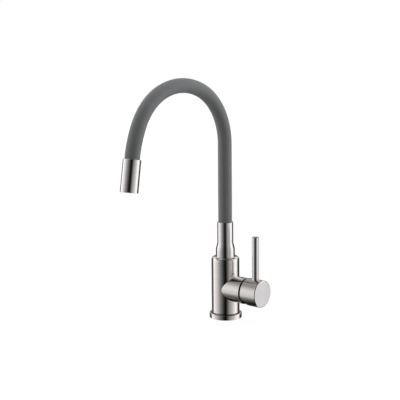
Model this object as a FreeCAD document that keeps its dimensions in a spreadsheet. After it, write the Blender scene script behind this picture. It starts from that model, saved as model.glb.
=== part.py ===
import FreeCAD, Part
import Sketcher

import math
import os

# Single-lever mixer tap with a bendable spout. Millimetres, +Z up.
# The origin is on the worktop at the column's axis. The handle points along +X, the spout along -Y.

DRIVING_SIZES = {
    # column and base
    "column_radius": 24.0,
    "column_rise": 55.0,
    "shoulder_round": 6.0,
    "base_ring_radius": 27.85,
    "base_ring_height": 8.0,
    "base_ring_edge": 1.2,
    "base_ring_lip": 3.0,
    "base_ring_bore": 19.0,
    "gasket_inner_radius": 21.5,
    "gasket_width": 4.0,
    "gasket_thickness": 1.5,
    "foot_groove_depth": 2.0,
    "foot_groove_height": 0.8,
    "foot_chamfer": 1.0,
    "foot_cavity_radius": 20.0,
    "foot_cavity_top": 22.0,
    # supply and fixing threads in the column's foot
    "inlet_offset": 10.5,
    "inlet_thread_radius": 4.55,
    "inlet_thread_depth": 11.0,
    "stud_offset": 12.0,
    "stud_thread_radius": 3.4,
    "stud_thread_depth": 14.0,
    # waterways in the column
    "riser_offset": 7.5,
    "riser_radius": 3.0,
    "mixed_rise_offset": 9.0,
    "mixed_rise_radius": 3.5,
    "drill_overrun": 1.0,
    # spout journal in the column's top
    "journal_radius": 14.0,
    "recess_depth": 3.0,
    "recess_gap": 0.25,
    "slip_washer_thickness": 1.0,
    "slip_washer_gap": 0.3,
    "snap_ring_drop": 6.0,
    "snap_ring_thickness": 1.5,
    "snap_ring_inner_radius": 12.9,
    "snap_ring_outer_radius": 14.85,
    "snap_ring_opening": 9.0,
    "snap_groove_gap": 0.3,
    "o_ring_section": 1.1,
    "o_ring_drop": 5.8,
    "o_ring_spacing": 6.0,
    # spout neck
    "neck_foot_radius": 16.35,
    "neck_foot_length": 13.1,
    "neck_flare_length": 10.5,
    "neck_flare_round": 6.0,
    "neck_radius": 13.7,
    "neck_collar_length": 36.0,
    "rim_chamfer": 0.5,
    "spigot_tail": 7.0,
    "spigot_end_gap": 2.5,
    "spigot_bore_radius": 10.0,
    "sleeve_socket_depth": 8.4,
    # hose couplings, alike at both ends of the hose
    "coupling_thread_radius": 9.6,
    "coupling_thread_length": 7.0,
    "coupling_bore_radius": 3.0,
    "neck_coupling_depth": 42.4,
    "ferrule_bore_radius": 8.1,
    "ferrule_radius": 7.8,
    "ferrule_length": 15.0,
    "ferrule_setback": 1.5,
    "core_seat_length": 6.0,
    "nipple_length": 15.8,
    # bendable spout: sleeve over a formable core over a hose
    "sleeve_radius": 11.75,
    "sleeve_bore_radius": 8.5,
    "core_radius": 8.3,
    "core_bore_radius": 6.65,
    "hose_radius": 6.4,
    "hose_bore_radius": 4.0,
    # the arch, as arcs that run into each other
    "arch_rise": 133.4,
    "first_arc_radius": 98.5,
    "first_arc_angle": 68.0,
    "second_arc_radius": 125.5,
    "second_arc_angle": 43.0,
    "third_arc_radius": 100.5,
    "third_arc_angle": 42.5,
    "fourth_arc_radius": 170.5,
    "fourth_arc_angle": 17.3,
    # outlet
    "outlet_radius": 14.0,
    "outlet_length": 50.35,
    "outlet_edge": 0.4,
    "outlet_coupling_seat": 30.0,
    "aerator_thread_radius": 12.15,
    "aerator_bore_radius": 10.4,
    "aerator_recess": 0.35,
    "aerator_lip_radius": 9.7,
    "aerator_lip_height": 1.0,
    "outlet_gasket_thickness": 1.8,
    "outlet_gasket_bore_radius": 8.5,
    "straightener_thickness": 4.0,
    "straightener_hole_radius": 1.05,
    "straightener_hole_pitch": 2.9,
    "screen_thickness": 1.0,
    "screen_hole_pitch": 1.45,
    "jet_hole_radius": 0.6,
    "jet_circle_radius": 7.0,
    # side housing and handle
    "handle_height": 51.8,
    "side_housing_radius": 22.3,
    "side_housing_chamfer": 0.5,
    "cap_radius": 23.05,
    "cap_reach": 79.2,
    "cap_length": 31.4,
    "cap_wall": 4.5,
    "cap_front": 5.8,
    "cap_front_round": 1.8,
    "cap_rear_chamfer": 0.6,
    "cap_relief_depth": 20.0,
    "cap_relief_length": 9.4,
    "cap_socket_depth": 4.6,
    "hub_radius": 6.5,
    "hub_start": 10.0,
    "pivot_setback": 9.5,
    "bowl_clearance": 0.65,
    "lever_pin_setback": 15.1,
    "lever_pin_radius": 5.92,
    "lever_pin_rise": 95.4,
    "lever_pin_round": 0.6,
    "lever_pin_seat": 21.5,
    "lever_pin_thread_radius": 4.0,
    "lever_pin_thread_end": 18.9,
    "grub_screw_radius": 2.0,
    "grub_screw_length": 8.0,
    "grub_screw_setback": 3.2,
    "grub_hex_radius": 1.2,
    "grub_hex_depth": 2.4,
    "grub_plug_length": 2.7,
    "grub_plug_recess": 0.15,
    # cartridge
    "cartridge_setback": 45.3,
    "cartridge_radius": 17.5,
    "cartridge_floor": 3.0,
    "cartridge_cavity_radius": 14.5,
    "cartridge_front_wall": 2.2,
    "cartridge_bore_gap": 0.2,
    "inlet_port_radius": 2.4,
    "inlet_port_rise": 4.6,
    "inlet_port_offset": 5.2,
    "mixed_port_radius": 3.0,
    "mixed_port_drop": 3.5,
    "port_seal_section": 0.6,
    "nut_radius": 18.5,
    "nut_length": 3.8,
    "nut_notch_width": 4.0,
    "nut_notch_depth": 1.6,
    "fixed_disc_radius": 14.3,
    "fixed_disc_thickness": 4.5,
    "moving_disc_radius": 11.8,
    "moving_disc_thickness": 3.9,
    "moving_disc_drop": 2.1,
    "mixing_pocket_radius": 5.0,
    "mixing_pocket_drop": 3.6,
    "mixing_pocket_depth": 2.0,
    "disc_gap": 0.05,
    "coupler_radius": 11.6,
    "coupler_thickness": 4.8,
    "coupler_post_height": 7.0,
    "coupler_post_width": 6.6,
    "coupler_pocket": 5.2,
    "coupler_pocket_depth": 4.4,
    "post_shortfall": 8.6,
    "carrier_gap": 0.3,
    "carrier_flange_thickness": 3.0,
    "carrier_flange_gap": 0.25,
    "carrier_neck_radius": 9.8,
    "carrier_neck_overrun": 3.0,
    "carrier_slot_width": 6.9,
    "carrier_slot_up": 8.3,
    "carrier_slot_down": 3.7,
    "carrier_fork_depth": 5.5,
    "carrier_seal_section": 0.95,
    "pivot_pin_radius": 1.5,
    "pivot_pin_length": 19.0,
    "lever_arm": 10.0,
    "lever_ball_radius": 2.3,
    "lever_stem_radius": 1.7,
    "lever_block_height": 8.0,
    "lever_block_width": 6.7,
    "lever_block_back": 4.0,
    "lever_block_front": 6.0,
    "lever_shank_radius": 4.5,
    # dome behind the cap
    "dome_radius": 18.0,
    "dome_wall": 1.3,
    "dome_front": 10.7,
    "dome_neck_radius": 11.5,
    "dome_neck_wall": 1.2,
    "dome_neck_end": 13.0,
    # clearances
    "seat_clearance": 0.1,
    "running_clearance": 0.05,
}


class Size:
    """A number kept together with the sheet formula that it comes from."""

    def __init__(self, number, formula):
        self.number = number
        self.formula = formula

    def __add__(self, other):
        other = as_size(other)
        return Size(self.number + other.number, f"({self.formula} + {other.formula})")

    def __sub__(self, other):
        other = as_size(other)
        return Size(self.number - other.number, f"({self.formula} - {other.formula})")

    def __rsub__(self, other):
        return as_size(other) - self

    def __mul__(self, other):
        other = as_size(other)
        return Size(self.number * other.number, f"({self.formula} * {other.formula})")

    def __truediv__(self, other):
        other = as_size(other)
        return Size(self.number / other.number, f"({self.formula} / {other.formula})")

    def __neg__(self):
        return Size(-self.number, f"(-1 * {self.formula})")

    __radd__ = __add__
    __rmul__ = __mul__


def as_size(value):
    return value if isinstance(value, Size) else Size(float(value), repr(float(value)))


def root(value):
    return Size(math.sqrt(value.number), f"sqrt({value.formula})")


def sine(degrees):
    return Size(math.sin(math.radians(degrees.number)), f"sin(1 deg * {degrees.formula})")


def cosine(degrees):
    return Size(math.cos(math.radians(degrees.number)), f"cos(1 deg * {degrees.formula})")


def slope(rise, run):
    """The angle in degrees of a line that rises that much over that run."""
    ratio = rise / run
    return Size(math.degrees(math.atan(ratio.number)), f"atan({ratio.formula}) / 1 deg")


class Sheet:
    """The driving sizes by name, each read back from its cell."""


doc = FreeCAD.newDocument("MixerTap")
cells = doc.addObject("Spreadsheet::Sheet", "Sizes")
for row, (name, value) in enumerate(DRIVING_SIZES.items(), start=1):
    cells.set(f"A{row}", name)
    cells.set(f"B{row}", str(value))
    cells.setAlias(f"B{row}", name)
doc.recompute()
size = Sheet()
for name in DRIVING_SIZES:
    setattr(size, name, Size(float(cells.get(name)), f"Sizes.{name}"))

X_AXIS = FreeCAD.Vector(1, 0, 0)
Y_AXIS = FreeCAD.Vector(0, 1, 0)
Z_AXIS = FreeCAD.Vector(0, 0, 1)
# Turns that lay a primitive's own Z axis along the named direction.
ALONG = {
    "x": FreeCAD.Rotation(Y_AXIS, 90),
    "y": FreeCAD.Rotation(X_AXIS, -90),
    "z": FreeCAD.Rotation(),
}
RIM_TOLERANCE = 1e-3
RIM_SAMPLES = 9
NUT_NOTCHES = 4
JET_HOLES = 16
# Holes on the first circle round a middle hole; each further circle has as many more.
HOLES_PER_CIRCLE = 6
SCREEN_CIRCLES = 6
STRAIGHTENER_CIRCLES = 3
pieces = []


# Building blocks


def bind(thing, path, value):
    value = as_size(value)
    if path in thing.PropertiesList:
        setattr(thing, path, value.number)
    thing.setExpression(path, value.formula)


def place(thing, at, turn=None, turn_angle=None):
    """Puts a piece or primitive at a point whose coordinates are tied to the sheet."""
    at = [as_size(part) for part in at]
    base = FreeCAD.Vector(*[part.number for part in at])
    thing.Placement = FreeCAD.Placement(base, turn or FreeCAD.Rotation())
    for letter, part in zip("xyz", at):
        thing.setExpression(f"Placement.Base.{letter}", part.formula)
    if turn_angle is not None:
        thing.setExpression("Placement.Rotation.Angle", turn_angle.formula)


def new_body(label):
    body = doc.addObject("PartDesign::Body", label)
    body.Label = label
    pieces.append(body)
    return body


def new_sketch(body, role):
    sketch = body.newObject("Sketcher::SketchObject", body.Label + "_sketch")
    plane = next(f for f in body.Origin.OriginFeatures if f.Role == role)
    sketch.AttachmentSupport = [(plane, "")]
    sketch.MapMode = "FlatFace"
    return sketch


def constrain(sketch, constraint, value=None):
    """Adds a constraint and ties its value, if it has one, to the sheet."""
    index = sketch.addConstraint(constraint)
    if value is not None:
        sketch.setExpression(f"Constraints[{index}]", value.formula)


def draw_outline(sketch, corners):
    """A closed outline of straight lines, with every corner tied to the sheet."""
    corners = [(as_size(across), as_size(up)) for across, up in corners]
    points = [FreeCAD.Vector(across.number, up.number, 0) for across, up in corners]
    count = len(points)
    lines = [Part.LineSegment(points[i], points[(i + 1) % count]) for i in range(count)]
    sketch.addGeometry(lines, False)
    for i in range(count):
        constrain(sketch, Sketcher.Constraint("Coincident", i, 2, (i + 1) % count, 1))
    for i, (across, up) in enumerate(corners):
        constrain(sketch, Sketcher.Constraint("DistanceX", -1, 1, i, 1, across.number), across)
        constrain(sketch, Sketcher.Constraint("DistanceY", -1, 1, i, 1, up.number), up)


def turned(label, corners):
    """A piece turned about its own Z axis from an outline of (radius, height) corners."""
    body = new_body(label)
    sketch = new_sketch(body, "XZ_Plane")
    draw_outline(sketch, corners)
    feature = body.newObject("PartDesign::Revolution", label + "_turned")
    feature.Profile = sketch
    feature.ReferenceAxis = (sketch, ["V_Axis"])
    feature.Angle = 360
    return body


def add_or_cut(body, kind, at, turn=None, turn_angle=None, **sizes):
    """A primitive of the named kind that adds to the body or cuts it."""
    feature = body.newObject("PartDesign::" + kind, body.Label + "_" + kind)
    for name, value in sizes.items():
        bind(feature, name, value)
    place(feature, at, turn, turn_angle)
    return feature


def cylinder(body, kind, radius, start, length, along="z"):
    """A cylinder from its start point along one axis; kind is Additive or Subtractive."""
    return add_or_cut(
        body, kind + "Cylinder", start, ALONG[along], Radius=radius, Height=length
    )


def sphere(body, kind, radius, centre):
    return add_or_cut(body, kind + "Sphere", centre, Radius=radius)


def box(body, kind, low, high):
    """A box between two corners whose sides follow the axes."""
    low = [as_size(part) for part in low]
    spans = [part - start for part, start in zip(high, low)]
    return add_or_cut(
        body, kind + "Box", low, Length=spans[0], Width=spans[1], Height=spans[2]
    )


def ring_pattern(body, feature, count):
    """Repeats a feature evenly round the body's Z axis."""
    pattern = body.newObject("PartDesign::PolarPattern", feature.Name + "_pattern")
    pattern.Originals = [feature]
    axis = next(f for f in body.Origin.OriginFeatures if f.Role == "Z_Axis")
    pattern.Axis = (axis, [""])
    pattern.Angle = 360
    pattern.Occurrences = count
    body.Tip = pattern


def is_rim(edge, radius, middle):
    """Whether an edge is the whole circle with that radius and centre."""
    if edge.CenterOfMass.distanceToPoint(middle) > RIM_TOLERANCE:
        return False
    return all(
        abs(point.distanceToPoint(middle) - radius) < RIM_TOLERANCE
        for point in edge.discretize(RIM_SAMPLES)
    )


def finish_rims(body, kind, amount, rims):
    """Fillets or chamfers the circular edges with the given radius and centre."""
    doc.recompute()
    tip = body.Tip
    names = []
    for radius, centre in rims:
        middle = FreeCAD.Vector(*[as_size(part).number for part in centre])
        for number, edge in enumerate(tip.Shape.Edges, start=1):
            if is_rim(edge, as_size(radius).number, middle):
                names.append(f"Edge{number}")
    feature = body.newObject("PartDesign::" + kind, body.Label + "_" + kind)
    feature.Base = (tip, names)
    bind(feature, {"Fillet": "Radius", "Chamfer": "Size"}[kind], amount)


def tube_outline(inner, outer, low, high):
    return [(inner, low), (outer, low), (outer, high), (inner, high)]


def disc_outline(radius, low, high):
    return [(0, low), (radius, low), (radius, high), (0, high)]


def o_rings(label, rings):
    """Round-section rings in one node; each is (centre radius, section, centre, direction)."""
    members = []
    for radius, section, centre, along in rings:
        ring = doc.addObject("Part::Torus", label + "_ring")
        bind(ring, "Radius1", radius)
        bind(ring, "Radius2", section)
        place(ring, centre, ALONG[along])
        members.append(ring)
    group = doc.addObject("Part::Compound", label)
    group.Label = label
    group.Links = members
    pieces.append(group)
    return group


# Heights of the lever pin, the column's top and the spout's parts, each from what carries it

lever_pin_top = size.handle_height + size.lever_pin_rise
column_top = size.handle_height + size.column_rise
washer_seat = column_top - size.recess_depth
upper_o_ring_height = washer_seat - size.o_ring_drop
lower_o_ring_height = upper_o_ring_height - size.o_ring_spacing
snap_ring_height = lower_o_ring_height - size.snap_ring_drop
spigot_bottom = snap_ring_height - size.spigot_tail
journal_floor = spigot_bottom - size.spigot_end_gap
neck_flare_start = column_top + size.neck_foot_length
neck_flare_end = neck_flare_start + size.neck_flare_length
neck_top = neck_flare_end + size.neck_collar_length
neck_coupling_seat = neck_top - size.neck_coupling_depth
arch_spring_height = neck_top + size.arch_rise

# Reaches along the handle's axis: the cap, the lever's pivot, and the stack inside the cartridge

cap_rear = size.cap_reach - size.cap_length
cap_inside = size.cap_reach - size.cap_front
pivot = cap_rear + size.pivot_setback
seat_reach = pivot - size.cartridge_setback
cavity_floor = seat_reach + size.cartridge_floor
fixed_disc_top = cavity_floor + size.fixed_disc_thickness
moving_disc_bottom = fixed_disc_top + size.disc_gap
moving_disc_top = moving_disc_bottom + size.moving_disc_thickness
coupler_top = moving_disc_top + size.coupler_thickness
flange_bottom = coupler_top + size.carrier_gap
flange_top = flange_bottom + size.carrier_flange_thickness
case_front_inside = flange_top + size.carrier_flange_gap
nut_start = case_front_inside + size.cartridge_front_wall
lever_pin_reach = size.cap_reach - size.lever_pin_setback

# Base ring and its gasket

gasket_outer = size.gasket_inner_radius + size.gasket_width
foot_radius = size.column_radius - size.foot_groove_depth
base_ring = turned(
    "base_ring",
    [
        (size.base_ring_bore, 0),
        (size.gasket_inner_radius - size.seat_clearance, 0),
        (size.gasket_inner_radius - size.seat_clearance, size.gasket_thickness),
        (gasket_outer + size.seat_clearance, size.gasket_thickness),
        (gasket_outer + size.seat_clearance, 0),
        (size.base_ring_radius, 0),
        (size.base_ring_radius, size.base_ring_height),
        (foot_radius + size.seat_clearance, size.base_ring_height),
        (foot_radius + size.seat_clearance, size.base_ring_lip),
        (size.base_ring_bore, size.base_ring_lip),
    ],
)
finish_rims(
    base_ring, "Fillet", size.base_ring_edge, [(size.base_ring_radius, (0, 0, size.base_ring_height))]
)
turned("base_gasket", tube_outline(size.gasket_inner_radius, gasket_outer, 0, size.gasket_thickness))

# Column: one casting with the side housing, the spout journal and the waterways

recess_radius = size.neck_foot_radius + size.recess_gap
snap_half = size.snap_ring_thickness / 2
column_snap_radius = size.snap_ring_outer_radius + size.seat_clearance
column_snap_half = snap_half + size.seat_clearance
foot_groove_top = size.base_ring_height + size.foot_groove_height
column = turned(
    "column",
    [
        (size.foot_cavity_radius, size.base_ring_lip),
        (foot_radius, size.base_ring_lip),
        (foot_radius, foot_groove_top),
        (size.column_radius - size.foot_chamfer, foot_groove_top),
        (size.column_radius, foot_groove_top + size.foot_chamfer),
        (size.column_radius, column_top),
        (recess_radius, column_top),
        (recess_radius, washer_seat),
        (size.journal_radius, washer_seat),
        (size.journal_radius, snap_ring_height + column_snap_half),
        (column_snap_radius, snap_ring_height + column_snap_half),
        (column_snap_radius, snap_ring_height - column_snap_half),
        (size.journal_radius, snap_ring_height - column_snap_half),
        (size.journal_radius, journal_floor),
        (0, journal_floor),
        (0, size.foot_cavity_top),
        (size.foot_cavity_radius, size.foot_cavity_top),
    ],
)
finish_rims(column, "Fillet", size.shoulder_round, [(size.column_radius, (0, 0, column_top))])

nut_bore_radius = size.nut_radius + size.seat_clearance
# The cap's rear edge swings on a sphere about the pivot, and the housing's end is cut to clear it.
bowl_radius = (
    root(size.pivot_setback * size.pivot_setback + size.cap_radius * size.cap_radius) + size.bowl_clearance
)
housing_rim = pivot - root(
    bowl_radius * bowl_radius - size.side_housing_radius * size.side_housing_radius
)
cylinder(column, "Additive", size.side_housing_radius, (0, 0, size.handle_height), cap_rear, "x")
cylinder(
    column,
    "Subtractive",
    size.cartridge_radius + size.cartridge_bore_gap,
    (seat_reach, 0, size.handle_height),
    size.cap_length,
    "x",
)
cylinder(column, "Subtractive", nut_bore_radius, (nut_start, 0, size.handle_height), size.cap_length, "x")
sphere(column, "Subtractive", bowl_radius, (pivot, 0, size.handle_height))

thread_top = size.foot_cavity_top + size.inlet_thread_depth
inlet_port_height = size.handle_height + size.inlet_port_rise
mixed_port_height = size.handle_height - size.mixed_port_drop
mixed_rise_start = mixed_port_height - size.mixed_port_radius - size.drill_overrun
for side in (-1, 1):
    cylinder(
        column,
        "Subtractive",
        size.inlet_thread_radius,
        (0, side * size.inlet_offset, size.foot_cavity_top),
        size.inlet_thread_depth,
    )
    cylinder(
        column,
        "Subtractive",
        size.riser_radius,
        (0, side * size.riser_offset, thread_top),
        inlet_port_height + size.inlet_port_radius + size.drill_overrun - thread_top,
    )
    cylinder(
        column,
        "Subtractive",
        size.inlet_port_radius,
        (0, side * size.inlet_port_offset, inlet_port_height),
        seat_reach,
        "x",
    )
cylinder(
    column,
    "Subtractive",
    size.stud_thread_radius,
    (-size.stud_offset, 0, size.foot_cavity_top),
    size.stud_thread_depth,
)
cylinder(
    column,
    "Subtractive",
    size.mixed_port_radius,
    (-size.mixed_rise_offset, 0, mixed_port_height),
    seat_reach + size.mixed_rise_offset,
    "x",
)
cylinder(
    column,
    "Subtractive",
    size.mixed_rise_radius,
    (-size.mixed_rise_offset, 0, mixed_rise_start),
    journal_floor - mixed_rise_start,
)
finish_rims(
    column,
    "Chamfer",
    size.side_housing_chamfer,
    [(size.side_housing_radius, (housing_rim, 0, size.handle_height))],
)

# Bearing and retaining parts of the spout, held in the column

turned(
    "slip_washer",
    tube_outline(
        size.journal_radius + size.slip_washer_gap,
        recess_radius - size.slip_washer_gap,
        washer_seat,
        washer_seat + size.slip_washer_thickness,
    ),
)
snap_ring = turned(
    "snap_ring",
    tube_outline(
        size.snap_ring_inner_radius,
        size.snap_ring_outer_radius,
        snap_ring_height - snap_half,
        snap_ring_height + snap_half,
    ),
)
box(
    snap_ring,
    "Subtractive",
    (0, -size.snap_ring_opening / 2, snap_ring_height - size.snap_ring_thickness),
    (size.column_radius, size.snap_ring_opening / 2, snap_ring_height + size.snap_ring_thickness),
)

# Spout neck with its spigot

spigot_radius = size.journal_radius - size.running_clearance
neck_shoulder = washer_seat + size.slip_washer_thickness + size.running_clearance
neck_snap_half = snap_half + size.snap_groove_gap
neck_snap_radius = size.snap_ring_inner_radius - size.snap_groove_gap
o_ring_radius = spigot_radius - size.o_ring_section
o_ring_groove_radius = o_ring_radius - size.o_ring_section - size.running_clearance
o_ring_groove_half = size.o_ring_section + size.seat_clearance
sleeve_socket_radius = size.sleeve_radius + size.recess_gap
core_seat_radius = size.core_radius + 2 * size.seat_clearance
sleeve_socket_floor = neck_top - size.sleeve_socket_depth
core_seat_floor = neck_coupling_seat + size.ferrule_setback + size.ferrule_length + size.core_seat_length
neck_thread_start = neck_coupling_seat - size.coupling_thread_length


def groove(radius, floor_radius, middle, half):
    return [
        (radius, middle - half),
        (floor_radius, middle - half),
        (floor_radius, middle + half),
        (radius, middle + half),
    ]


neck = turned(
    "spout_neck",
    [(size.spigot_bore_radius, spigot_bottom), (spigot_radius, spigot_bottom)]
    + groove(spigot_radius, neck_snap_radius, snap_ring_height, neck_snap_half)
    + groove(spigot_radius, o_ring_groove_radius, lower_o_ring_height, o_ring_groove_half)
    + groove(spigot_radius, o_ring_groove_radius, upper_o_ring_height, o_ring_groove_half)
    + [
        (spigot_radius, neck_shoulder),
        (size.neck_foot_radius, neck_shoulder),
        (size.neck_foot_radius, neck_flare_start),
        (size.neck_radius, neck_flare_end),
        (size.neck_radius, neck_top - size.rim_chamfer),
        (size.neck_radius - size.rim_chamfer, neck_top),
        (sleeve_socket_radius, neck_top),
        (sleeve_socket_radius, sleeve_socket_floor),
        (core_seat_radius, sleeve_socket_floor),
        (core_seat_radius, core_seat_floor),
        (size.ferrule_bore_radius, core_seat_floor),
        (size.ferrule_bore_radius, neck_coupling_seat),
        (size.coupling_thread_radius, neck_coupling_seat),
        (size.coupling_thread_radius, neck_thread_start),
        (size.spigot_bore_radius, neck_thread_start),
    ],
)
finish_rims(
    neck,
    "Fillet",
    size.neck_flare_round,
    [
        (size.neck_foot_radius, (0, 0, neck_flare_start)),
        (size.neck_radius, (0, 0, neck_flare_end)),
    ],
)
o_rings(
    "spout_o_rings",
    [
        (o_ring_radius, size.o_ring_section, (0, 0, height), "z")
        for height in (lower_o_ring_height, upper_o_ring_height)
    ],
)

# Hose couplings: a threaded nipple and a crimped ferrule at each end of the hose

coupling_radius = size.coupling_thread_radius - size.seat_clearance
nipple_radius = size.hose_bore_radius - size.running_clearance
ferrule_inner_radius = size.hose_radius + size.running_clearance


def coupling_outline(seat, toward_hose):
    """The nipple's outline; toward_hose is 1 where the hose lies above the seat, else -1."""
    face = seat - toward_hose * size.seat_clearance
    back = seat - toward_hose * size.coupling_thread_length
    tip = seat + toward_hose * size.nipple_length
    return [
        (size.coupling_bore_radius, back),
        (coupling_radius, back),
        (coupling_radius, face),
        (nipple_radius, face),
        (nipple_radius, tip),
        (size.coupling_bore_radius, tip),
    ]


def ferrule_outline(seat, toward_hose):
    near = seat + toward_hose * size.ferrule_setback
    return tube_outline(
        ferrule_inner_radius, size.ferrule_radius, near, near + toward_hose * size.ferrule_length
    )


turned("neck_coupling", coupling_outline(neck_coupling_seat, 1))
turned("neck_ferrule", ferrule_outline(neck_coupling_seat, 1))

# The arch's arcs, and the point and lean of its end

arcs = [
    (size.first_arc_radius, size.first_arc_angle),
    (size.second_arc_radius, size.second_arc_angle),
    (size.third_arc_radius, size.third_arc_angle),
    (size.fourth_arc_radius, size.fourth_arc_angle),
]
arch_turn = as_size(0)
arch_end_y = as_size(0)
arch_end_z = arch_spring_height
for arc_radius, arc_angle in arcs:
    next_turn = arch_turn + arc_angle
    arch_end_y = arch_end_y - arc_radius * (cosine(arch_turn) - cosine(next_turn))
    arch_end_z = arch_end_z + arc_radius * (sine(next_turn) - sine(arch_turn))
    arch_turn = next_turn


def bent_tube(label, outer, inner, start_height, end_run):
    """A tube along the riser, the arch and a straight run beyond the arch's end."""
    body = new_body(label)
    route = new_sketch(body, "YZ_Plane")
    point = FreeCAD.Vector(0, arch_spring_height.number, 0)
    foot = FreeCAD.Vector(0, start_height.number, 0)
    route.addGeometry(Part.LineSegment(foot, point), False)
    for end in (1, 2):
        constrain(route, Sketcher.Constraint("PointOnObject", 0, end, -2))
    constrain(
        route, Sketcher.Constraint("DistanceY", -1, 1, 0, 1, start_height.number), start_height
    )
    constrain(
        route,
        Sketcher.Constraint("DistanceY", -1, 1, 0, 2, arch_spring_height.number),
        arch_spring_height,
    )
    turn = 0.0
    for number, (arc_radius, arc_angle) in enumerate(arcs, start=1):
        radius = arc_radius.number
        angle = math.radians(arc_angle.number)
        centre = point - FreeCAD.Vector(radius * math.cos(turn), radius * math.sin(turn), 0)
        circle = Part.Circle(centre, Z_AXIS, radius)
        route.addGeometry(Part.ArcOfCircle(circle, turn, turn + angle), False)
        turn += angle
        point = centre + FreeCAD.Vector(radius * math.cos(turn), radius * math.sin(turn), 0)
        constrain(route, Sketcher.Constraint("Tangent", number - 1, 2, number, 1))
        constrain(route, Sketcher.Constraint("Radius", number, radius), arc_radius)
        # a plain number in an angle's formula counts as degrees
        constrain(route, Sketcher.Constraint("Angle", number, angle), arc_angle)
    far = point + FreeCAD.Vector(-math.sin(turn), math.cos(turn), 0) * end_run.number
    last = len(arcs) + 1
    route.addGeometry(Part.LineSegment(point, far), False)
    constrain(route, Sketcher.Constraint("Tangent", last - 1, 2, last, 1))
    constrain(route, Sketcher.Constraint("Distance", last, end_run.number), end_run)

    section = new_sketch(body, "XY_Plane")
    start = FreeCAD.Vector(0, 0, start_height.number)
    section.AttachmentOffset = FreeCAD.Placement(start, FreeCAD.Rotation())
    section.setExpression("AttachmentOffset.Base.z", start_height.formula)
    for number, radius in enumerate((outer, inner)):
        section.addGeometry(Part.Circle(FreeCAD.Vector(), Z_AXIS, radius.number), False)
        constrain(section, Sketcher.Constraint("Coincident", number, 3, -1, 1))
        constrain(section, Sketcher.Constraint("Radius", number, radius.number), radius)
    sweep = body.newObject("PartDesign::AdditivePipe", label + "_swept")
    sweep.Profile = section
    sweep.Spine = (route, [f"Edge{number}" for number in range(1, last + 2)])
    return body, route


outlet_core_seat = size.outlet_coupling_seat - size.ferrule_setback - size.ferrule_length
outlet_socket_floor = outlet_core_seat - size.core_seat_length
tubes = [
    (
        "silicone_sleeve",
        size.sleeve_radius,
        size.sleeve_bore_radius,
        sleeve_socket_floor + size.seat_clearance,
        outlet_socket_floor - size.seat_clearance,
    ),
    (
        "formable_core",
        size.core_radius,
        size.core_bore_radius,
        core_seat_floor + size.seat_clearance,
        outlet_core_seat - size.seat_clearance,
    ),
    (
        "inner_hose",
        size.hose_radius,
        size.hose_bore_radius,
        neck_coupling_seat + size.seat_clearance,
        size.outlet_coupling_seat - size.seat_clearance,
    ),
]
swept = [(values, *bent_tube(*values)) for values in tubes]

# Outlet: turned about its own axis, with zero at the housing's upper rim, then laid on the arch's end

aerator_cavity_floor = size.outlet_coupling_seat + size.coupling_thread_length
aerator_top = aerator_cavity_floor + size.outlet_gasket_thickness
aerator_end = size.outlet_length - size.aerator_recess
aerator_lip = aerator_end - size.aerator_lip_height
insert_radius = size.aerator_bore_radius - size.seat_clearance
straightener_top = aerator_lip - size.straightener_thickness
screen_top = straightener_top - size.screen_thickness


def on_arch_end(piece):
    place(piece, (0, arch_end_y, arch_end_z), FreeCAD.Rotation(X_AXIS, arch_turn.number), arch_turn)
    return piece


on_arch_end(
    turned(
        "outlet_housing",
        [
            (sleeve_socket_radius, 0),
            (size.outlet_radius - size.outlet_edge, 0),
            (size.outlet_radius, size.outlet_edge),
            (size.outlet_radius, size.outlet_length - size.outlet_edge),
            (size.outlet_radius - size.outlet_edge, size.outlet_length),
            (size.aerator_thread_radius, size.outlet_length),
            (size.aerator_thread_radius, aerator_cavity_floor),
            (size.coupling_thread_radius, aerator_cavity_floor),
            (size.coupling_thread_radius, size.outlet_coupling_seat),
            (size.ferrule_bore_radius, size.outlet_coupling_seat),
            (size.ferrule_bore_radius, outlet_core_seat),
            (core_seat_radius, outlet_core_seat),
            (core_seat_radius, outlet_socket_floor),
            (sleeve_socket_radius, outlet_socket_floor),
        ],
    )
)
on_arch_end(turned("outlet_coupling", coupling_outline(size.outlet_coupling_seat, -1)))
on_arch_end(turned("outlet_ferrule", ferrule_outline(size.outlet_coupling_seat, -1)))
on_arch_end(
    turned(
        "outlet_gasket",
        tube_outline(
            size.outlet_gasket_bore_radius,
            size.aerator_thread_radius - size.seat_clearance,
            aerator_cavity_floor,
            aerator_top,
        ),
    )
)
on_arch_end(
    turned(
        "aerator_shell",
        [
            (size.aerator_bore_radius, aerator_top),
            (size.aerator_thread_radius - size.seat_clearance, aerator_top),
            (size.aerator_thread_radius - size.seat_clearance, aerator_end),
            (size.aerator_lip_radius, aerator_end),
            (size.aerator_lip_radius, aerator_lip),
            (size.aerator_bore_radius, aerator_lip),
        ],
    )
)


def holed_disc(label, low, high, hole_radius, circles):
    """A disc with circles of holes; each circle is (its radius, how many holes)."""
    disc = turned(label, disc_outline(insert_radius, low, high))
    for circle_radius, count in circles:
        hole = cylinder(
            disc,
            "Subtractive",
            hole_radius,
            (circle_radius, 0, low - size.drill_overrun),
            high - low + 2 * size.drill_overrun,
        )
        if count > 1:
            ring_pattern(disc, hole, count)
    return on_arch_end(disc)


def hole_circles(pitch, count):
    """A middle hole and evenly spaced circles round it."""
    return [(0, 1)] + [(ring * pitch, HOLES_PER_CIRCLE * ring) for ring in range(1, count + 1)]


holed_disc(
    "jet_plate",
    aerator_top,
    screen_top,
    size.jet_hole_radius,
    [(size.jet_circle_radius, JET_HOLES)],
)
holed_disc(
    "aerator_screen",
    screen_top,
    straightener_top,
    size.jet_hole_radius,
    hole_circles(size.screen_hole_pitch, SCREEN_CIRCLES),
)
holed_disc(
    "flow_straightener",
    straightener_top,
    aerator_lip,
    size.straightener_hole_radius,
    hole_circles(size.straightener_hole_pitch, STRAIGHTENER_CIRCLES),
)

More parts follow.
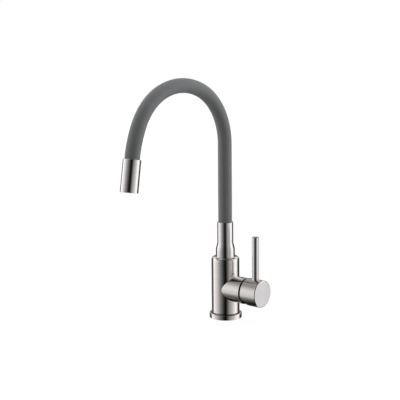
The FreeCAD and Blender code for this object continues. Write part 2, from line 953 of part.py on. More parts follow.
# Handle side: each piece is turned about its own Z axis, which then lies along the handle's axis.
# On these pieces zero is the column's axis, +X points down and -X points up.


def on_handle_axis(piece):
    place(piece, (0, 0, size.handle_height), ALONG["x"])
    return piece


inlet_ports = [(-size.inlet_port_rise, side * size.inlet_port_offset) for side in (-1, 1)]
mixed_port = (size.mixed_port_drop, as_size(0))


def cut_ports(piece, start, depth, extra):
    """The two inlet ports and the mixed port, each wider than its own radius by extra."""
    for down, across in inlet_ports:
        cylinder(
            piece, "Subtractive", size.inlet_port_radius + extra, (down, across, start), depth
        )
    cylinder(
        piece, "Subtractive", size.mixed_port_radius + extra, (*mixed_port, start), depth
    )


# Cartridge case, its port seals and its nut

neck_opening_radius = size.carrier_neck_radius + size.seat_clearance
cartridge_case = on_handle_axis(
    turned(
        "cartridge_case",
        [
            (0, seat_reach),
            (size.cartridge_radius, seat_reach),
            (size.cartridge_radius, nut_start),
            (neck_opening_radius, nut_start),
            (neck_opening_radius, case_front_inside),
            (size.cartridge_cavity_radius, case_front_inside),
            (size.cartridge_cavity_radius, cavity_floor),
            (0, cavity_floor),
        ],
    )
)
seal_width = 2 * size.port_seal_section
cut_ports(cartridge_case, seat_reach, size.cartridge_floor, 0)
cut_ports(cartridge_case, seat_reach, seal_width, seal_width + size.seat_clearance)
seal_rings = []
for (down, across), port_radius in [
    (inlet_ports[0], size.inlet_port_radius),
    (inlet_ports[1], size.inlet_port_radius),
    (mixed_port, size.mixed_port_radius),
]:
    centre = (seat_reach + size.port_seal_section, across, size.handle_height - down)
    seal_rings.append((port_radius + size.port_seal_section, size.port_seal_section, centre, "x"))
o_rings("port_seals", seal_rings)

nut = on_handle_axis(
    turned(
        "cartridge_nut",
        tube_outline(
            size.dome_neck_radius + size.seat_clearance,
            size.nut_radius,
            nut_start,
            nut_start + size.nut_length,
        ),
    )
)
notch = box(
    nut,
    "Subtractive",
    (
        size.cartridge_cavity_radius,
        -size.nut_notch_width / 2,
        nut_start + size.nut_length - size.nut_notch_depth,
    ),
    (size.column_radius, size.nut_notch_width / 2, nut_start + size.nut_length + size.drill_overrun),
)
ring_pattern(nut, notch, NUT_NOTCHES)

# Ceramic discs

fixed_disc = on_handle_axis(
    turned("fixed_disc", disc_outline(size.fixed_disc_radius, cavity_floor, fixed_disc_top))
)
cut_ports(fixed_disc, cavity_floor, size.fixed_disc_thickness, 0)

moving_disc = on_handle_axis(new_body("moving_disc"))
cylinder(
    moving_disc,
    "Additive",
    size.moving_disc_radius,
    (size.moving_disc_drop, 0, moving_disc_bottom),
    size.moving_disc_thickness,
)
cylinder(
    moving_disc,
    "Subtractive",
    size.mixing_pocket_radius,
    (size.mixing_pocket_drop, 0, moving_disc_bottom),
    size.mixing_pocket_depth,
)

# Coupler that carries the moving disc; the lever's ball sits in the pocket of its post

post_half = size.coupler_post_height / 2
post_side = size.coupler_post_width / 2
pocket_half = size.coupler_pocket / 2
post_top = pivot - size.post_shortfall
coupler = on_handle_axis(new_body("disc_coupler"))
cylinder(
    coupler,
    "Additive",
    size.coupler_radius,
    (size.moving_disc_drop, 0, moving_disc_top),
    size.coupler_thickness,
)
box(
    coupler,
    "Additive",
    (-post_half, -post_side, moving_disc_top),
    (post_half, post_side, post_top),
)
box(
    coupler,
    "Subtractive",
    (-pocket_half, -pocket_half, post_top - size.coupler_pocket_depth),
    (pocket_half, pocket_half, post_top + size.drill_overrun),
)

# Carrier: turns with the handle, guides the coupler and holds the lever's pivot pin in its fork

flange_radius = size.cartridge_cavity_radius - size.seat_clearance
flange_middle = (flange_bottom + flange_top) / 2
carrier_seal_radius = flange_radius - size.carrier_seal_section
carrier_end = pivot + size.carrier_neck_overrun
slot_half = size.carrier_slot_width / 2
carrier = on_handle_axis(
    turned(
        "lever_carrier",
        [(0, flange_bottom), (flange_radius, flange_bottom)]
        + groove(
            flange_radius,
            carrier_seal_radius - size.carrier_seal_section - size.running_clearance,
            flange_middle,
            size.carrier_seal_section + size.seat_clearance,
        )
        + [
            (flange_radius, flange_top),
            (size.carrier_neck_radius, flange_top),
            (size.carrier_neck_radius, carrier_end),
            (0, carrier_end),
        ],
    )
)
box(
    carrier,
    "Subtractive",
    (-size.carrier_slot_up, -slot_half, flange_bottom - size.drill_overrun),
    (size.carrier_slot_down, slot_half, pivot),
)
box(
    carrier,
    "Subtractive",
    (-size.column_radius, -slot_half, pivot - size.carrier_fork_depth),
    (size.column_radius, slot_half, carrier_end + size.drill_overrun),
)
cylinder(
    carrier,
    "Subtractive",
    size.pivot_pin_radius + size.running_clearance,
    (0, -size.column_radius, pivot),
    2 * size.column_radius,
    "y",
)
o_rings(
    "carrier_seal",
    [(carrier_seal_radius, size.carrier_seal_section, (flange_middle, 0, size.handle_height), "x")],
)
pivot_pin = on_handle_axis(new_body("pivot_pin"))
cylinder(
    pivot_pin,
    "Additive",
    size.pivot_pin_radius,
    (0, -size.pivot_pin_length / 2, pivot),
    size.pivot_pin_length,
    "y",
)

# Lever spindle: ball, stem, block on the pivot pin and shank into the cap

socket_end = cap_inside + size.cap_socket_depth
ball_reach = pivot - size.lever_arm
block_start = pivot - size.lever_block_back
block_end = pivot + size.lever_block_front
block_half = size.lever_block_height / 2
block_side = size.lever_block_width / 2
spindle = on_handle_axis(new_body("lever_spindle"))
box(
    spindle,
    "Additive",
    (-block_half, -block_side, block_start),
    (block_half, block_side, block_end),
)
cylinder(
    spindle,
    "Additive",
    size.lever_shank_radius,
    (0, 0, block_end),
    socket_end - size.seat_clearance - block_end,
)
cylinder(
    spindle, "Additive", size.lever_stem_radius, (0, 0, ball_reach), block_start - ball_reach
)
sphere(spindle, "Additive", size.lever_ball_radius, (0, 0, ball_reach))
cylinder(
    spindle,
    "Subtractive",
    size.pivot_pin_radius + size.running_clearance,
    (0, -size.column_radius, pivot),
    2 * size.column_radius,
    "y",
)

# Dome behind the cap, screwed into the nut by its neck

dome = on_handle_axis(new_body("dome_shroud"))
sphere(dome, "Additive", size.dome_radius, (0, 0, pivot))
dome_neck_start = nut_start + size.seat_clearance
cylinder(
    dome,
    "Additive",
    size.dome_neck_radius,
    (0, 0, dome_neck_start),
    pivot - size.dome_neck_end - dome_neck_start,
)
sphere(dome, "Subtractive", size.dome_radius - size.dome_wall, (0, 0, pivot))
cylinder(
    dome,
    "Subtractive",
    size.dome_neck_radius - size.dome_neck_wall,
    (0, 0, seat_reach),
    pivot - seat_reach - size.dome_neck_radius,
)
cylinder(
    dome, "Subtractive", size.cap_radius, (0, 0, pivot + size.dome_front), size.cap_radius
)

# Handle cap: hollow behind, with a hub for the spindle and the lever pin's seat on top

cap_bore = size.cap_radius - size.cap_wall
shank_bore = size.lever_shank_radius + size.seat_clearance
cap = on_handle_axis(
    turned(
        "handle_cap",
        [
            (cap_bore, cap_rear),
            (size.cap_radius - size.cap_rear_chamfer, cap_rear),
            (size.cap_radius, cap_rear + size.cap_rear_chamfer),
            (size.cap_radius, size.cap_reach),
            (0, size.cap_reach),
            (0, socket_end),
            (shank_bore, socket_end),
            (shank_bore, pivot + size.hub_start),
            (size.hub_radius, pivot + size.hub_start),
            (size.hub_radius, cap_inside),
            (cap_bore, cap_inside),
        ],
    )
)
finish_rims(cap, "Fillet", size.cap_front_round, [(size.cap_radius, (0, 0, size.cap_reach))])
cylinder(
    cap,
    "Subtractive",
    size.lever_pin_radius + size.seat_clearance,
    (-size.lever_pin_seat - size.cap_radius, 0, lever_pin_reach),
    size.cap_radius,
    "x",
)
cylinder(
    cap,
    "Subtractive",
    size.lever_pin_thread_radius + size.running_clearance,
    (-size.lever_pin_seat - size.cap_wall, 0, lever_pin_reach),
    2 * size.cap_wall,
    "x",
)
grub_reach = size.cap_reach - size.grub_screw_setback
grub_bore = size.grub_screw_radius + size.running_clearance
cylinder(cap, "Subtractive", grub_bore, (0, 0, grub_reach), 2 * size.cap_radius, "x")
# Below the axis the rear edge slants away, so that the housing's rim has room when the lever tilts.
relief_tilt = slope(size.cap_relief_depth, size.cap_relief_length)
add_or_cut(
    cap,
    "SubtractiveBox",
    (size.cap_radius - size.cap_relief_depth, -size.cap_radius, cap_rear),
    FreeCAD.Rotation(Y_AXIS, relief_tilt.number),
    relief_tilt,
    Length=size.cap_radius,
    Width=2 * size.cap_radius,
    Height=size.cap_radius + size.cap_relief_length,
)

# Lever pin, grub screw and its cover plug

lever_pin = turned(
    "lever_pin",
    [
        (0, size.handle_height + size.lever_pin_thread_end),
        (size.lever_pin_thread_radius, size.handle_height + size.lever_pin_thread_end),
        (size.lever_pin_thread_radius, size.handle_height + size.lever_pin_seat),
        (size.lever_pin_radius, size.handle_height + size.lever_pin_seat),
        (size.lever_pin_radius, lever_pin_top),
        (0, lever_pin_top),
    ],
)
finish_rims(lever_pin, "Fillet", size.lever_pin_round, [(size.lever_pin_radius, (0, 0, lever_pin_top))])
place(lever_pin, (lever_pin_reach, 0, 0))

grub_screw = on_handle_axis(new_body("grub_screw"))
cylinder(
    grub_screw,
    "Additive",
    size.grub_screw_radius,
    (size.lever_shank_radius, 0, grub_reach),
    size.grub_screw_length,
    "x",
)
add_or_cut(
    grub_screw,
    "SubtractivePrism",
    (size.lever_shank_radius + size.grub_screw_length - size.grub_hex_depth, 0, grub_reach),
    ALONG["x"],
    Circumradius=size.grub_hex_radius,
    Height=size.grub_screw_length,
)
grub_plug = on_handle_axis(new_body("grub_plug"))
cylinder(
    grub_plug,
    "Additive",
    size.grub_screw_radius,
    (size.cap_radius - size.grub_plug_recess - size.grub_plug_length, 0, grub_reach),
    size.grub_plug_length,
    "x",
)

# Recompute, check every object and write one file for each piece

doc.recompute()
for thing in doc.Objects:
    if "Invalid" in thing.State or "Error" in thing.State:
        raise RuntimeError(f"{thing.Label} is {thing.State}")
for (label, outer, inner, _, _), body, route in swept:
    section = math.pi * (outer.number**2 - inner.number**2)
    ratio = body.Shape.Volume / (section * route.Shape.Length)
    print(f"{label}: volume over section times length {ratio:.6f}")
os.makedirs("parts", exist_ok=True)
for piece in pieces:
    shape = piece.Shape
    if shape.isNull() or not shape.isValid() or not shape.Solids:
        raise RuntimeError(f"{piece.Label} has no valid solid")
    shape.exportStep(f"parts/{piece.Label}.step")
print(f"{len(pieces)} pieces written")
print(f"arch end y {arch_end_y.number:.2f} z {arch_end_z.number:.2f}")
print(f"housing rim {housing_rim.number:.2f}, groove {(cap_rear - housing_rim).number:.2f}")
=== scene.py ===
import math

import bmesh
import bpy
from mathutils import Matrix, Vector


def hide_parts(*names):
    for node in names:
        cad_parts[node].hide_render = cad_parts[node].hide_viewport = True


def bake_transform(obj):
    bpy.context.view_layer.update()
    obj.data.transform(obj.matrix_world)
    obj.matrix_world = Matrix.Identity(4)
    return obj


# Looks of the single-lever mixer tap: metres, +Z up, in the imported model's own frame.

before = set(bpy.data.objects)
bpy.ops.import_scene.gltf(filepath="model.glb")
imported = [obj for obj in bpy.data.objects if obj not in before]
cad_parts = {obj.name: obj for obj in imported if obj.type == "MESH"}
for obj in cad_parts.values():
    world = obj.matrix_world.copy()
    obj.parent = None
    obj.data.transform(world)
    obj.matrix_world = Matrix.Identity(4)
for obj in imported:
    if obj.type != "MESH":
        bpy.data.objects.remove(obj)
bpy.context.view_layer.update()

# Camera: it stands at an azimuth and a distance from the column, and its turns are in degrees
CAMERA_AZIMUTH = -51.5
CAMERA_DISTANCE = 1.5439
CAMERA_HEIGHT = 0.4481
CAMERA_HEADING = 130.08
CAMERA_PITCH = 8.98
CAMERA_ROLL = -0.584
CAMERA_LENS_MM = 82.79
CAMERA_SENSOR_MM = 36.0


def horizontal(azimuth):
    """The level direction at that many degrees from +X."""
    angle = math.radians(azimuth)
    return Vector((math.cos(angle), math.sin(angle), 0.0))


def make_camera():
    pitch = math.radians(CAMERA_PITCH)
    roll = math.radians(CAMERA_ROLL)
    forward = horizontal(CAMERA_HEADING) * math.cos(pitch) - Vector((0, 0, math.sin(pitch)))
    level = horizontal(CAMERA_HEADING - 90)
    upright = level.cross(forward)
    right = level * math.cos(roll) + upright * math.sin(roll)
    up = upright * math.cos(roll) - level * math.sin(roll)
    data = bpy.data.cameras.new("photo_camera")
    data.sensor_width = CAMERA_SENSOR_MM
    data.lens = CAMERA_LENS_MM
    camera = bpy.data.objects.new("photo_camera", data)
    bpy.context.scene.collection.objects.link(camera)
    turn = Matrix((right, up, -forward)).transposed().to_4x4()
    place = horizontal(CAMERA_AZIMUTH) * CAMERA_DISTANCE + Vector((0, 0, CAMERA_HEIGHT))
    camera.matrix_world = Matrix.Translation(place) @ turn
    bpy.context.scene.camera = camera


make_camera()
bpy.context.scene.view_settings.view_transform = "Standard"


# Node helpers


def new_material(name, **sockets):
    """A material with one Principled shader whose plain values are set on its own sockets."""
    material = bpy.data.materials.new(name)
    material.use_nodes = True
    shader = material.node_tree.nodes["Principled BSDF"]
    for socket, value in sockets.items():
        shader.inputs[socket.replace("_", " ")].default_value = value
    return material, shader


def add_node(tree, kind, inputs=None, **settings):
    """A node with its settings; each input is a value or the socket it takes."""
    node = tree.nodes.new(kind)
    for name, value in settings.items():
        setattr(node, name, value)
    for key, value in (inputs or {}).items():
        if isinstance(value, bpy.types.NodeSocket):
            tree.links.new(value, node.inputs[key])
        else:
            node.inputs[key].default_value = value
    return node


def calculate(tree, operation, *values):
    """Arithmetic on numbers."""
    node = add_node(tree, "ShaderNodeMath", dict(enumerate(values)), operation=operation)
    return node.outputs[0]


def vector_calculate(tree, operation, *values):
    """Arithmetic on vectors."""
    node = add_node(tree, "ShaderNodeVectorMath", dict(enumerate(values)), operation=operation)
    return node.outputs["Value" if operation in ("LENGTH", "DOT_PRODUCT") else "Vector"]


def scaled(tree, vector, factor):
    inputs = {0: vector, "Scale": factor}
    return add_node(tree, "ShaderNodeVectorMath", inputs, operation="SCALE").outputs["Vector"]


def noise(tree, vector, scale, detail=3.0, roughness=0.55):
    inputs = {"Vector": vector, "Scale": scale, "Detail": detail, "Roughness": roughness}
    return add_node(tree, "ShaderNodeTexNoise", inputs).outputs["Fac"]


def spread(tree, value, low, high, from_low=0.0, from_high=1.0):
    """Maps a value's range onto another."""
    inputs = {
        "Value": value,
        "From Min": from_low,
        "From Max": from_high,
        "To Min": low,
        "To Max": high,
    }
    return add_node(tree, "ShaderNodeMapRange", inputs).outputs["Result"]


def mix(tree, factor, first, second, kind):
    """Between two values, or the sockets that give them; the kind is FLOAT, VECTOR or RGBA."""
    node = add_node(tree, "ShaderNodeMix", {"Factor": factor}, data_type=kind)
    places = [place for place in node.inputs if place.enabled][1:]
    for place, value in zip(places, (first, second)):
        if isinstance(value, bpy.types.NodeSocket):
            tree.links.new(value, place)
        else:
            place.default_value = value
    return [place for place in node.outputs if place.enabled][0]


def tint(tree, factor, first, second):
    """Between two plain colours."""
    return mix(tree, factor, (*first, 1.0), (*second, 1.0), "RGBA")


def bump(tree, height, depth, strength):
    """The normal of a surface whose height varies by that depth."""
    inputs = {"Height": height, "Distance": depth, "Strength": strength}
    return add_node(tree, "ShaderNodeBump", inputs).outputs["Normal"]


# Satin steel: fine turning marks run round each piece's own axis

HANDLE_HEIGHT = 0.0518
COLUMN_AXIS = ((0.0, 0.0, 0.0), (0.0, 0.0, 1.0))
DOWN_AXIS = ((0.0, 0.0, 0.0), (0.0, 0.0, -1.0))
HANDLE_AXIS = ((0.0, 0.0, HANDLE_HEIGHT), (1.0, 0.0, 0.0))
LEVER_PIN_AXIS = ((0.0641, 0.0, 0.0), (0.0, 0.0, 1.0))
FINE_MARKS_PER_METRE = 4200.0
COARSE_MARKS_PER_METRE = 1300.0
BROAD_MARKS_PER_METRE = 450.0
MARKS_ROUND_PER_METRE = 34.0
# Share of the coarse marks among the fine ones, and of the broad ones among both
COARSE_SHARE = 0.45
BROAD_SHARE = 0.5
MARK_DEPTH = 0.00002
# Where most values of a noise and of the streaks lie
NOISE_RANGE = (0.3, 0.7)
STREAK_RANGE = (0.38, 0.62)
# Roughness at the two ends of the marks, as a share of the steel's own
ROUGHNESS_SHARES = (1.25, 0.8)
ANISOTROPY = 0.6
QUARTER_TURN = 0.25
# A patch of painted shade: its axis, where it starts along it, its radius and its grey.
# The side housing's bore and the groove at the column's foot are painted dark as shade.
HOUSING_BORE_SHADE = (HANDLE_AXIS, 0.03, 0.0221, (0.05, 0.049, 0.048))
FOOT_GROOVE_SHADE = (DOWN_AXIS, -0.00975, 0.0239, (0.42, 0.41, 0.40))
# The cap's flat face is painted darker than its turned wall: painted shade that dims its reflection
CAP_FACE_SHADE = (HANDLE_AXIS, 0.0788, 0.0213, (0.58, 0.565, 0.565))
# The side housing has an axis of its own: it lies past the column's wall and above the base ring
HOUSING = (HANDLE_AXIS, 0.0241, 0.012)


def axis_parts(tree, local, axis):
    """How far along an axis, given as a point and a direction, a place is, and its offset from it."""
    place, direction = axis
    offset = vector_calculate(tree, "SUBTRACT", local, place)
    along = vector_calculate(tree, "DOT_PRODUCT", offset, direction)
    return along, vector_calculate(tree, "SUBTRACT", offset, scaled(tree, direction, along))


def is_past(tree, value, limit):
    return calculate(tree, "GREATER_THAN", value, limit)


def turning_marks(tree, along, radial):
    """Fine marks for the grain, and broader streaks for the tint."""
    # they count along the axis on a wall and along the radius on a flat face
    run = calculate(tree, "ADD", along, vector_calculate(tree, "LENGTH", radial))
    slow = scaled(tree, radial, MARKS_ROUND_PER_METRE)
    patterns = []
    for marks_per_metre in (FINE_MARKS_PER_METRE, COARSE_MARKS_PER_METRE, BROAD_MARKS_PER_METRE):
        count = calculate(tree, "MULTIPLY", run, marks_per_metre)
        step = add_node(tree, "ShaderNodeCombineXYZ", {"X": count, "Y": count, "Z": count})
        patterns.append(noise(tree, vector_calculate(tree, "ADD", slow, step.outputs[0]), 1.0))
    fine, coarse, broad = patterns
    marks = mix(tree, COARSE_SHARE, fine, coarse, "FLOAT")
    return marks, mix(tree, BROAD_SHARE, marks, broad, "FLOAT")


def tangent(tree, direction, radial):
    """The direction round an axis, which the marks follow."""
    around = vector_calculate(tree, "CROSS_PRODUCT", direction, radial)
    turned = add_node(
        tree,
        "ShaderNodeVectorTransform",
        {"Vector": around},
        vector_type="VECTOR",
        convert_from="OBJECT",
        convert_to="WORLD",
    ).outputs["Vector"]
    return vector_calculate(tree, "NORMALIZE", turned)


def turned_steel(name, axis, tints, finish, shade_patches=(), branch=None):
    """Steel whose marks, tint and tangent follow the axis.

    Tints are the dark and the light one, and the finish is its roughness and the strength of its marks.
    A branch is an axis of its own, for what lies past a radius and above a height of the first axis.
    """
    roughness, grain = finish
    material, shader = new_material(
        name, Metallic=1.0, Anisotropic=ANISOTROPY, Anisotropic_Rotation=QUARTER_TURN
    )
    tree = material.node_tree
    direction = axis[1]
    local = add_node(tree, "ShaderNodeTexCoord").outputs["Object"]
    along, radial = axis_parts(tree, local, axis)
    if branch:
        branch_axis, wall_radius, start = branch
        outside = is_past(tree, vector_calculate(tree, "LENGTH", radial), wall_radius)
        outside = calculate(tree, "MULTIPLY", outside, is_past(tree, along, start))
        branch_along, branch_radial = axis_parts(tree, local, branch_axis)
        along = mix(tree, outside, along, branch_along, "FLOAT")
        radial = mix(tree, outside, radial, branch_radial, "VECTOR")
        direction = mix(tree, outside, direction, branch_axis[1], "VECTOR")
    marks, streaks = turning_marks(tree, along, radial)
    colour = tint(tree, spread(tree, streaks, 0.0, 1.0, *STREAK_RANGE), *tints)
    # Painted shade: inside each patch its grey replaces the steel's tint
    for patch_axis, start, patch_radius, shade_grey in shade_patches:
        reach, patch_radial = axis_parts(tree, local, patch_axis)
        distance = vector_calculate(tree, "LENGTH", patch_radial)
        in_shade = calculate(tree, "LESS_THAN", distance, patch_radius)
        in_shade = calculate(tree, "MULTIPLY", in_shade, is_past(tree, reach, start))
        colour = mix(tree, in_shade, colour, (*shade_grey, 1.0), "RGBA")
    roughest, smoothest = (roughness * share for share in ROUGHNESS_SHARES)
    gloss = spread(tree, marks, roughest, smoothest, *NOISE_RANGE)
    tree.links.new(colour, shader.inputs["Base Color"])
    tree.links.new(gloss, shader.inputs["Roughness"])
    tree.links.new(bump(tree, marks, MARK_DEPTH, grain), shader.inputs["Normal"])
    tree.links.new(tangent(tree, direction, radial), shader.inputs["Tangent"])
    return material


# Moulded and cast pieces: a broad mottle and a fine grain
MOTTLE_PER_METRE = 60.0
GRAIN_PER_METRE = 900.0
SOFT_GRAIN_PER_METRE = 1400.0
METAL_GRAIN_PER_METRE = 2400.0
GRAIN_DEPTH = 0.00003
GRAIN_STRENGTH = 0.35
GRAIN_GLOSS_SHARES = (0.88, 1.12)


def moulded(name, colour, roughness, mottle=0.06, grain=GRAIN_PER_METRE, **sockets):
    """Plastic, rubber, ceramic or cast metal with a slight mottle and a fine grain."""
    material, shader = new_material(name, **sockets)
    tree = material.node_tree
    local = add_node(tree, "ShaderNodeTexCoord").outputs["Object"]
    broad = noise(tree, local, MOTTLE_PER_METRE)
    fine = noise(tree, local, grain, detail=2.0)
    darker = [channel * (1 - mottle) for channel in colour]
    lighter = [min(1.0, channel * (1 + mottle)) for channel in colour]
    tree.links.new(tint(tree, broad, darker, lighter), shader.inputs["Base Color"])
    smoothest, roughest = (roughness * share for share in GRAIN_GLOSS_SHARES)
    gloss = spread(tree, fine, smoothest, roughest, *NOISE_RANGE)
    tree.links.new(gloss, shader.inputs["Roughness"])
    tree.links.new(bump(tree, fine, GRAIN_DEPTH, GRAIN_STRENGTH), shader.inputs["Normal"])
    return material


def cast_metal(name, colour, roughness):
    return moulded(name, colour, roughness, grain=METAL_GRAIN_PER_METRE, Metallic=1.0)


STEEL_TINTS = ((0.71, 0.69, 0.682), (0.80, 0.78, 0.772))
WARM_TINTS = ((0.72, 0.68, 0.66), (0.81, 0.77, 0.75))
COLUMN_FINISH = (0.11, 0.08)
HANDLE_FINISH = (0.17, 0.25)
PIN_FINISH = (0.12, 0.06)
BRIGHT_FINISH = (0.09, 0.06)
SILICONE_GREY = (0.276, 0.28, 0.287)

LOOKS = {
    "column_steel": turned_steel(
        "column_steel", COLUMN_AXIS, WARM_TINTS, COLUMN_FINISH, (HOUSING_BORE_SHADE, FOOT_GROOVE_SHADE), HOUSING
    ),
    "neck_steel": turned_steel("neck_steel", COLUMN_AXIS, STEEL_TINTS, BRIGHT_FINISH),
    "handle_steel": turned_steel(
        "handle_steel", HANDLE_AXIS, WARM_TINTS, HANDLE_FINISH, (CAP_FACE_SHADE,)
    ),
    "pin_steel": turned_steel("pin_steel", LEVER_PIN_AXIS, STEEL_TINTS, PIN_FINISH),
    "silicone": moulded(
        "silicone", SILICONE_GREY, 0.62, grain=SOFT_GRAIN_PER_METRE, Sheen_Weight=0.15
    ),
    "seal_rubber": moulded("seal_rubber", (0.018, 0.018, 0.019), 0.5),
    "hose_rubber": moulded("hose_rubber", (0.045, 0.045, 0.05), 0.45),
    "cartridge_plastic": moulded("cartridge_plastic", (0.72, 0.72, 0.70), 0.42),
    "aerator_plastic": moulded("aerator_plastic", (0.62, 0.63, 0.64), 0.38),
    "ceramic": moulded("ceramic", (0.80, 0.78, 0.74), 0.18, mottle=0.03),
    "brass": cast_metal("brass", (0.70, 0.50, 0.22), 0.28),
    # Painted shade: the cartridge nut's brass is made near black, so it stays dark inside the handle's
    # groove
    "brass_in_painted_shade": cast_metal("brass_in_painted_shade", (0.07, 0.055, 0.04), 0.5),
    "spring_steel": cast_metal("spring_steel", (0.45, 0.45, 0.46), 0.25),
    # Painted shade: the dome shroud under the cap is near black, standing in for the shade inside the
    # handle's groove
    "steel_in_painted_shade": moulded("steel_in_painted_shade", (0.05, 0.05, 0.052), 0.4, Metallic=1.0),
}

NODE_LOOKS = {
    "column": "column_steel",
    "base_ring": "column_steel",
    "spout_neck": "neck_steel",
    "handle_cap": "handle_steel",
    "lever_pin": "pin_steel",
    "dome_shroud": "steel_in_painted_shade",
    "grub_plug": "handle_steel",
    "grub_screw": "spring_steel",
    "lever_spindle": "spring_steel",
    "pivot_pin": "spring_steel",
    "snap_ring": "spring_steel",
    "neck_ferrule": "spring_steel",
    "outlet_ferrule": "spring_steel",
    "aerator_screen": "spring_steel",
    "cartridge_nut": "brass_in_painted_shade",
    "neck_coupling": "brass",
    "outlet_coupling": "brass",
    "fixed_disc": "ceramic",
    "moving_disc": "ceramic",
    "cartridge_case": "cartridge_plastic",
    "lever_carrier": "cartridge_plastic",
    "disc_coupler": "cartridge_plastic",
    "slip_washer": "cartridge_plastic",
    "jet_plate": "aerator_plastic",
    "flow_straightener": "aerator_plastic",
    "base_gasket": "seal_rubber",
    "port_seals": "seal_rubber",
    "carrier_seal": "seal_rubber",
    "spout_o_rings": "seal_rubber",
    "outlet_gasket": "seal_rubber",
}


def dress(node, material):
    """Gives a CAD node's object the material in every slot."""
    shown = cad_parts[node]
    if not shown.material_slots:
        shown.data.materials.append(material)
    for place in shown.material_slots:
        place.material = material


for node, look in NODE_LOOKS.items():
    dress(node, LOOKS[look])

# The spout's route: up the riser, round the arch and a short way into the outlet

SPRING_HEIGHT = 0.2998
# Each arc's radius and its turn in degrees
ARCS = ((0.0985, 68.0), (0.1255, 43.0), (0.1005, 42.5), (0.1705, 17.3))
OUTLET_START = SPRING_HEIGHT + sum(radius * math.radians(angle) for radius, angle in ARCS)
ACROSS = Vector((1.0, 0.0, 0.0))
RIM_ANGLES = (0.0, 22.5, 45.0, 67.5, 90.0)


def route_place(distance):
    """The point, the heading and the outward side of the route at a distance from the worktop."""
    point = Vector((0.0, 0.0, min(distance, SPRING_HEIGHT)))
    turn = 0.0
    left = distance - SPRING_HEIGHT
    for radius, degrees in ARCS:
        if left <= 0:
            break
        step = min(left / radius, math.radians(degrees))
        point.y -= radius * (math.cos(turn) - math.cos(turn + step))
        point.z += radius * (math.sin(turn + step) - math.sin(turn))
        turn += step
        left -= radius * step
    heading = Vector((0.0, -math.sin(turn), math.cos(turn)))
    if left > 0:
        point = point + heading * left
    return point, heading, heading.cross(ACROSS)


def swept(name, profile, sides):
    """A closed mesh whose (distance, radius) profile runs along the spout's route."""
    mesh = bmesh.new()
    rings = []
    for distance, radius in profile:
        point, _, side = route_place(distance)
        ring = []
        for number in range(sides):
            angle = 2 * math.pi * number / sides
            offset = ACROSS * math.cos(angle) + side * math.sin(angle)
            ring.append(mesh.verts.new(point + offset * radius))
        rings.append(ring)
    for first, second in zip(rings, rings[1:] + rings[:1]):
        for number in range(sides):
            after = (number + 1) % sides
            mesh.faces.new((first[number], first[after], second[after], second[number]))
    bmesh.ops.recalc_face_normals(mesh, faces=mesh.faces)
    data = bpy.data.meshes.new(name)
    mesh.to_mesh(data)
    mesh.free()
    data.shade_smooth()
    piece = bpy.data.objects.new(name, data)
    bpy.context.scene.collection.objects.link(piece)
    return piece


def even_steps(start, end, step):
    """Evenly spaced values from start to end, about a step apart."""
    count = max(1, round((end - start) / step))
    return [start + (end - start) * number / count for number in range(count + 1)]


def tube_profile(start, end, outer, inner, edge, step):
    """A tube with softly rounded rims, out along its skin and back along its bore."""
    rim = [
        (edge * (1 - math.sin(math.radians(angle))), edge * (1 - math.cos(math.radians(angle))))
        for angle in RIM_ANGLES
    ]
    skin = [(start + along, outer - inward) for along, inward in rim]
    skin += [(distance, outer) for distance in even_steps(start + edge, end - edge, step)[1:-1]]
    skin += [(end - along, outer - inward) for along, inward in reversed(rim)]
    bore = [(distance, inner) for distance in reversed(even_steps(start, end, step))]
    return skin + bore


# Each starts at a distance along the route and ends a short run past the outlet's start
SLEEVE_START = 0.1581
SLEEVE_END_RUN = 0.0074
SLEEVE_RADIUS = 0.01175
SLEEVE_BORE_RADIUS = 0.0085
SLEEVE_EDGE = 0.0005
SLEEVE_STEP = 0.003
SLEEVE_SIDES = 64
CORE_START = 0.1466
CORE_END_RUN = 0.0134
CORE_RADIUS = 0.00825
CORE_BORE_RADIUS = 0.0067
CORE_PITCH = 0.0022
CORE_TURN_ANGLES = (-72.0, -36.0, 0.0, 36.0, 72.0)
HOSE_START = 0.1241
HOSE_END_RUN = 0.0299
HOSE_RADIUS = 0.0064
HOSE_BORE_RADIUS = 0.0040
HOSE_EDGE = 0.0003
INNER_STEP = 0.004
INNER_SIDES = 40


def dress_swept(piece, node, look):
    piece.data.materials.append(LOOKS[look])
    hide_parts(node)
    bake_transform(piece)


def make_sleeve():
    end = OUTLET_START + SLEEVE_END_RUN
    profile = tube_profile(
        SLEEVE_START, end, SLEEVE_RADIUS, SLEEVE_BORE_RADIUS, SLEEVE_EDGE, SLEEVE_STEP
    )
    sleeve = swept("soft_sleeve", profile, SLEEVE_SIDES)
    dress_swept(sleeve, "silicone_sleeve", "silicone")


def make_core():
    """The formable core: a close-wound coil, as round turns along the route."""
    wire = CORE_PITCH / 2
    end = OUTLET_START + CORE_END_RUN
    turns = int((end - CORE_START) / CORE_PITCH)
    skin = []
    for number in range(turns):
        middle = CORE_START + (number + 0.5) * (end - CORE_START) / turns
        for degrees in CORE_TURN_ANGLES:
            angle = math.radians(degrees)
            skin.append((middle + wire * math.sin(angle), CORE_RADIUS - wire * (1 - math.cos(angle))))
    bore = [
        (distance, CORE_BORE_RADIUS)
        for distance in reversed(even_steps(CORE_START, end, INNER_STEP))
    ]
    core = swept("wound_core", skin + bore, INNER_SIDES)
    dress_swept(core, "formable_core", "spring_steel")


def make_hose():
    end = OUTLET_START + HOSE_END_RUN
    profile = tube_profile(HOSE_START, end, HOSE_RADIUS, HOSE_BORE_RADIUS, HOSE_EDGE, INNER_STEP)
    hose = swept("water_hose", profile, INNER_SIDES)
    dress_swept(hose, "inner_hose", "hose_rubber")


make_sleeve()
make_core()
make_hose()

# The outlet's own axis, for its turning marks

